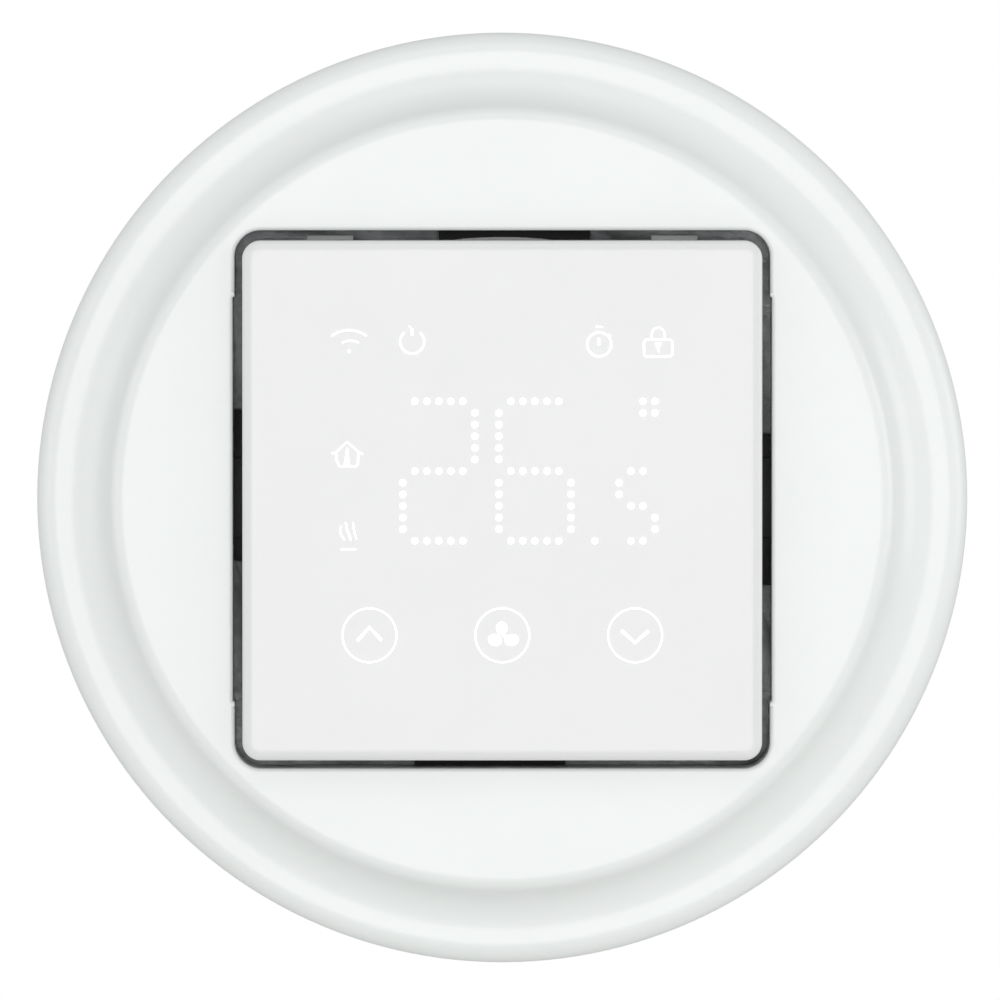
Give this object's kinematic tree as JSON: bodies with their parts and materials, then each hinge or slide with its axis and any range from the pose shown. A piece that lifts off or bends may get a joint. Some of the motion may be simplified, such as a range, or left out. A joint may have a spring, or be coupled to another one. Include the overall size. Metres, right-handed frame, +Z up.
{
  "type": "wall thermostat",
  "caption": "Round wall thermostat: square touch display module that pulls off a power base, inside a round cover frame with a raised centre.",
  "frame": {"origin": "middle of the wall box screw pattern, on the wall plane (the back face of the support plate)", "axes": "+Z up, -Y out of the wall towards the user, +X to the user's right"},
  "size_m": [0.099, 0.0357, 0.099],
  "materials": {
    "frame_white": "satin gloss",
    "face_white": "smooth satin, softly lit from behind",
    "glow": "lit",
    "back_white": "fine moulded grain",
    "led_white": "moulded",
    "gilt": "bright",
    "board": "solder mask",
    "black_plastic": "fine spark grain",
    "sensor_black": "dipped resin",
    "tin": "tinned",
    "screw_steel": "nickel",
    "zinc": "zinc plated sheet",
    "terminal_green": "moulded",
    "copper": "bare copper",
    "relay_blue": "moulded",
    "ivory": "moulded",
    "ferrite": "sintered",
    "tape_yellow": "film",
    "can_sleeve": "shrink sleeve",
    "varistor_blue": "epoxy dip",
    "fuse_brown": "moulded"
  },
  "bodies": {
    "base": {"support_plate": "zinc", "base_housing": "black_plastic", "rear_cover": "black_plastic", "case_screws": "screw_steel", "power_board": "board", "board_screws": "screw_steel", "header_body": "black_plastic", "header_pins": "gilt", "terminal_block": "terminal_green", "terminal_tongues": "copper", "relay_base": "black_plastic", "relay_cover": "relay_blue", "relay_bobbin": "ivory", "relay_winding": "copper", "relay_yoke": "screw_steel", "relay_contacts": "gilt", "transformer_core": "ferrite", "transformer_bobbin": "black_plastic", "transformer_winding": "tape_yellow", "film_capacitor": "tape_yellow", "electrolytic_capacitors": "can_sleeve", "varistor": "varistor_blue", "fuse": "fuse_brown", "rectifier": "black_plastic"},
    "display_module": {"face_cover": "face_white", "digit_dots": "glow", "icon_marks": "glow", "key_marks": "glow", "light_box": "back_white", "segment_leds": "led_white", "icon_leds": "led_white", "touch_springs": "gilt", "display_board": "board", "controller_chip": "black_plastic", "wireless_module": "tin", "buzzer": "black_plastic", "room_sensor": "sensor_black", "backup_battery": "tin", "battery_clip": "gilt", "pin_socket": "black_plastic", "display_back": "back_white", "display_screws": "screw_steel"},
    "cover_frame": {"cover_frame": "frame_white"},
    "armature": {"relay_armature": "screw_steel", "contact_spring": "gilt"},
    "screw_1": {"terminal_screw_1": "screw_steel"},
    "cage_1": {"clamp_cage_1": "zinc"},
    "screw_2": {"terminal_screw_2": "screw_steel"},
    "cage_2": {"clamp_cage_2": "zinc"},
    "screw_3": {"terminal_screw_3": "screw_steel"},
    "cage_3": {"clamp_cage_3": "zinc"},
    "screw_4": {"terminal_screw_4": "screw_steel"},
    "cage_4": {"clamp_cage_4": "zinc"},
    "screw_5": {"terminal_screw_5": "screw_steel"},
    "cage_5": {"clamp_cage_5": "zinc"},
    "screw_6": {"terminal_screw_6": "screw_steel"},
    "cage_6": {"clamp_cage_6": "zinc"}
  },
  "joints": [
    {"name": "display_pull", "type": "slide", "parent": "base", "child": "display_module", "axis": [0, -1, 0], "range_m": [0, 0.025]},
    {"name": "frame_pull", "type": "slide", "parent": "base", "child": "cover_frame", "axis": [0, -1, 0], "range_m": [0, 0.03]},
    {"name": "armature_swing", "type": "hinge", "parent": "base", "child": "armature", "pos_m": [-0.0115, 0.0166, 0.0054], "axis": [-1, 0, 0], "range_deg": [0, 4], "stiffness_Nm_per_rad": 0.002, "springref_deg": -8.59},
    {"name": "screw_1_turn", "type": "hinge", "parent": "base", "child": "screw_1", "pos_m": [-0.0125, 0.02, -0.019], "axis": [0, -1, 0], "range_deg": [0, 2160]},
    {"name": "cage_1_lift", "type": "slide", "parent": "base", "child": "cage_1", "axis": [0, 1, 0], "range_m": [0, 0.0027]},
    {"name": "screw_2_turn", "type": "hinge", "parent": "base", "child": "screw_2", "pos_m": [-0.0075, 0.02, -0.019], "axis": [0, -1, 0], "range_deg": [0, 2160]},
    {"name": "cage_2_lift", "type": "slide", "parent": "base", "child": "cage_2", "axis": [0, 1, 0], "range_m": [0, 0.0027]},
    {"name": "screw_3_turn", "type": "hinge", "parent": "base", "child": "screw_3", "pos_m": [-0.0025, 0.02, -0.019], "axis": [0, -1, 0], "range_deg": [0, 2160]},
    {"name": "cage_3_lift", "type": "slide", "parent": "base", "child": "cage_3", "axis": [0, 1, 0], "range_m": [0, 0.0027]},
    {"name": "screw_4_turn", "type": "hinge", "parent": "base", "child": "screw_4", "pos_m": [0.0025, 0.02, -0.019], "axis": [0, -1, 0], "range_deg": [0, 2160]},
    {"name": "cage_4_lift", "type": "slide", "parent": "base", "child": "cage_4", "axis": [0, 1, 0], "range_m": [0, 0.0027]},
    {"name": "screw_5_turn", "type": "hinge", "parent": "base", "child": "screw_5", "pos_m": [0.0075, 0.02, -0.019], "axis": [0, -1, 0], "range_deg": [0, 2160]},
    {"name": "cage_5_lift", "type": "slide", "parent": "base", "child": "cage_5", "axis": [0, 1, 0], "range_m": [0, 0.0027]},
    {"name": "screw_6_turn", "type": "hinge", "parent": "base", "child": "screw_6", "pos_m": [0.0125, 0.02, -0.019], "axis": [0, -1, 0], "range_deg": [0, 2160]},
    {"name": "cage_6_lift", "type": "slide", "parent": "base", "child": "cage_6", "axis": [0, 1, 0], "range_m": [0, 0.0027]}
  ],
  "couplings": [
    {"joint": "screw_1_turn", "follows": "cage_1_lift", "rad_per_m": 13963},
    {"joint": "screw_2_turn", "follows": "cage_2_lift", "rad_per_m": 13963},
    {"joint": "screw_3_turn", "follows": "cage_3_lift", "rad_per_m": 13963},
    {"joint": "screw_4_turn", "follows": "cage_4_lift", "rad_per_m": 13963},
    {"joint": "screw_5_turn", "follows": "cage_5_lift", "rad_per_m": 13963},
    {"joint": "screw_6_turn", "follows": "cage_6_lift", "rad_per_m": 13963}
  ]
}
